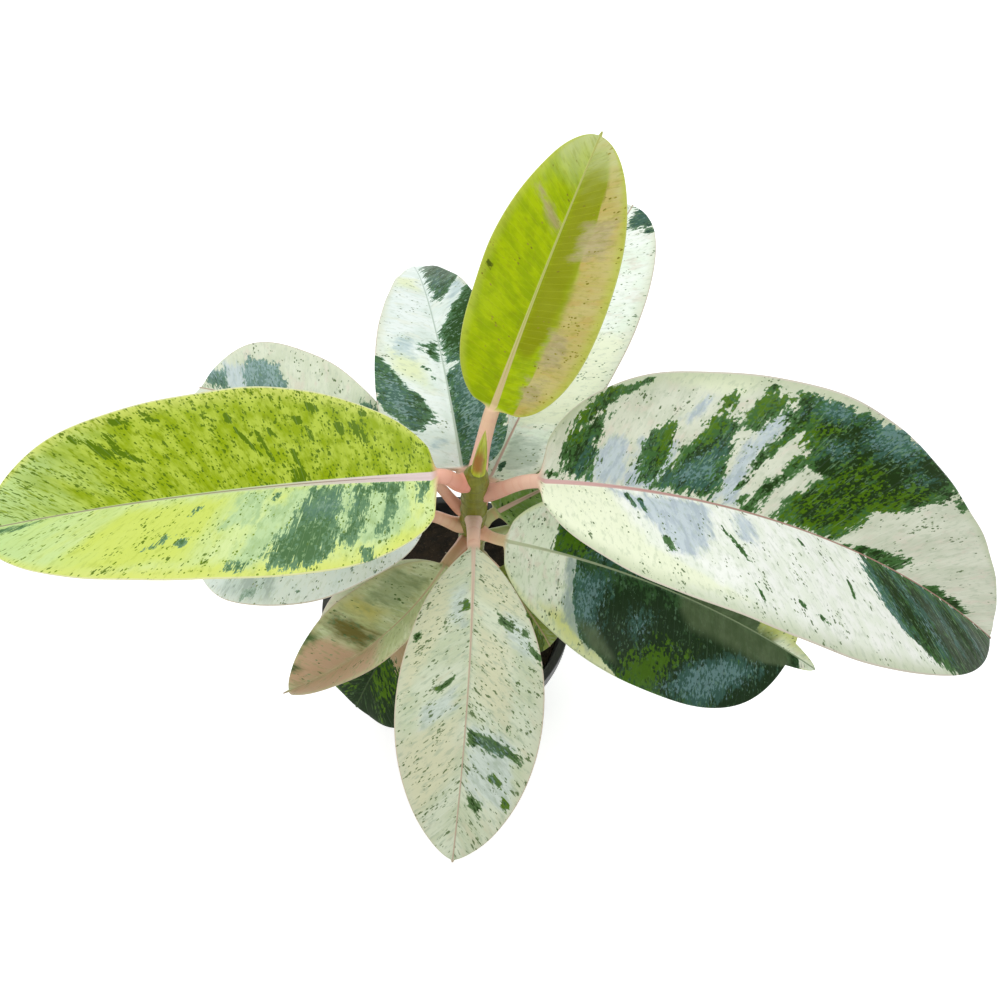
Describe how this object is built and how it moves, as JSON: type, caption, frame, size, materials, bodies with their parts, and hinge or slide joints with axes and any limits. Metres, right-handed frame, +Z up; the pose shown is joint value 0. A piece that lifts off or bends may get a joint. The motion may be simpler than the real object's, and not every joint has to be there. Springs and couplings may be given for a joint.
{
  "type": "potted ficus",
  "caption": "Young variegated rubber fig on one upright stem, with marbled cream, lime and dark green leaves, standing in a plain dark nursery pot.",
  "frame": {"origin": "centre of the pot's flat bottom, on the surface that it stands on", "axes": "+Z up, -Y towards the plant's front, which the picture looks at from above, and +X to its right"},
  "size_m": [0.3798, 0.275, 0.2749],
  "materials": {
    "pot_plastic": "matte",
    "potting_mix": "matte",
    "stem_bark": "satin",
    "sheath_skin": "satin",
    "cream_leaf": "satin",
    "lime_leaf": "satin",
    "green_leaf": "satin"
  },
  "bodies": {
    "root": {"pot": "pot_plastic", "soil": "potting_mix", "stem": "stem_bark", "bud_sheath": "sheath_skin", "leaf_01": "lime_leaf", "leaf_02": "lime_leaf", "leaf_03": "cream_leaf", "leaf_04": "cream_leaf", "leaf_05": "green_leaf", "leaf_06": "cream_leaf", "leaf_07": "cream_leaf", "leaf_08": "cream_leaf", "leaf_09": "cream_leaf", "leaf_10": "cream_leaf", "leaf_11": "cream_leaf", "leaf_12": "green_leaf", "leaf_13": "cream_leaf", "leaf_14": "green_leaf"}
  },
  "joints": []
}
